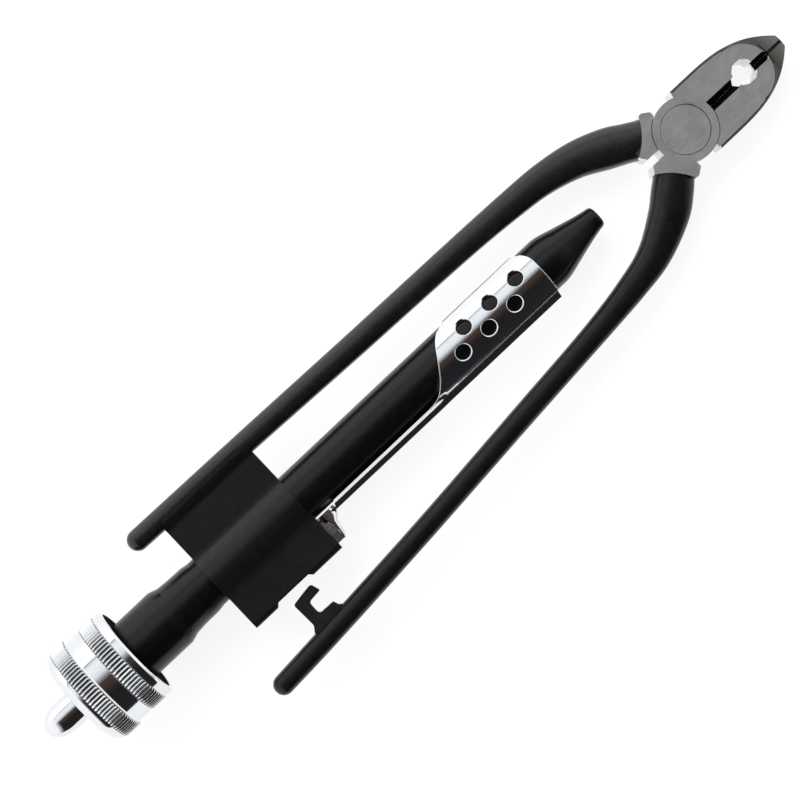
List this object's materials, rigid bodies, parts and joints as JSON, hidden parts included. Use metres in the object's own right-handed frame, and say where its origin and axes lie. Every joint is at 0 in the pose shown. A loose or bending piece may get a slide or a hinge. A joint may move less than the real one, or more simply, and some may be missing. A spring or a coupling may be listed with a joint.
{
  "type": "lockwire twisting pliers",
  "caption": "Slim twisting pliers with ground jaws, a spiral spindle in a tube beside one handle, a knurled pull knob and a thumb slide that locks the handles.",
  "frame": {"origin": "middle of the object's outline in plan, at the lowest point of the knob with the tool lying flat", "axes": "+X along the tool towards the jaws, +Y towards the handle that carries the tube, +Z along the rivet, away from the surface the tool lies on"},
  "size_m": [0.2394, 0.0538, 0.027],
  "materials": {
    "black_finish": "semi-gloss black over forged steel",
    "black_paint": "semi-gloss black",
    "ground_steel": "fine ground along the tool",
    "bare_steel": "turned",
    "spring_steel": "drawn wire and strip",
    "brass": "turned",
    "chrome": "bright plated"
  },
  "bodies": {
    "rear": {"rear_half": "black_finish", "pivot_rivet": "ground_steel", "bracket": "black_paint", "barrel_tube": "black_paint", "drive_nut": "bare_steel", "nut_pins": "bare_steel", "nut_circlip": "spring_steel", "return_spring": "spring_steel"},
    "front": {"front_half": "black_finish", "latch_hook": "black_finish"},
    "slide": {"thumb_slide": "chrome", "slide_leaf_spring": "spring_steel", "leaf_rivet": "bare_steel"},
    "seat": {"spring_seat": "bare_steel"},
    "spindle": {"spiral_shaft": "bare_steel", "seat_nut": "bare_steel", "clutch_hub": "brass", "hub_pin": "bare_steel", "dome_nut": "chrome"},
    "knob": {"knob_shell": "chrome", "knob_bush": "brass", "knob_end_cap": "chrome", "thrust_washer": "brass", "wave_washer": "spring_steel"}
  },
  "joints": [
    {"name": "jaw_pivot", "type": "hinge", "parent": "rear", "child": "front", "pos_m": [0.088, 0.006, 0.0135], "axis": [0, 0, 1], "range_deg": [0, 35]},
    {"name": "lock_slide", "type": "slide", "parent": "rear", "child": "slide", "axis": [-1, 0, 0], "range_m": [0, 0.0045]},
    {"name": "knob_pull", "type": "slide", "parent": "rear", "child": "seat", "axis": [-1, 0, 0], "range_m": [0, 0.075], "stiffness_N_per_m": 250, "springref_m": -0.02, "deforming": ["return_spring"]},
    {"name": "spindle_spin", "type": "hinge", "parent": "seat", "child": "spindle", "pos_m": [0, 0.0056, 0.0135], "axis": [1, 0, 0], "range_deg": [-1081, 0]},
    {"name": "knob_swivel", "type": "hinge", "parent": "spindle", "child": "knob", "pos_m": [-0.1, 0.0056, 0.0135], "axis": [1, 0, 0], "continuous": true}
  ],
  "couplings": [
    {"joint": "spindle_spin", "follows": "knob_pull", "rad_per_m": -251.33}
  ]
}
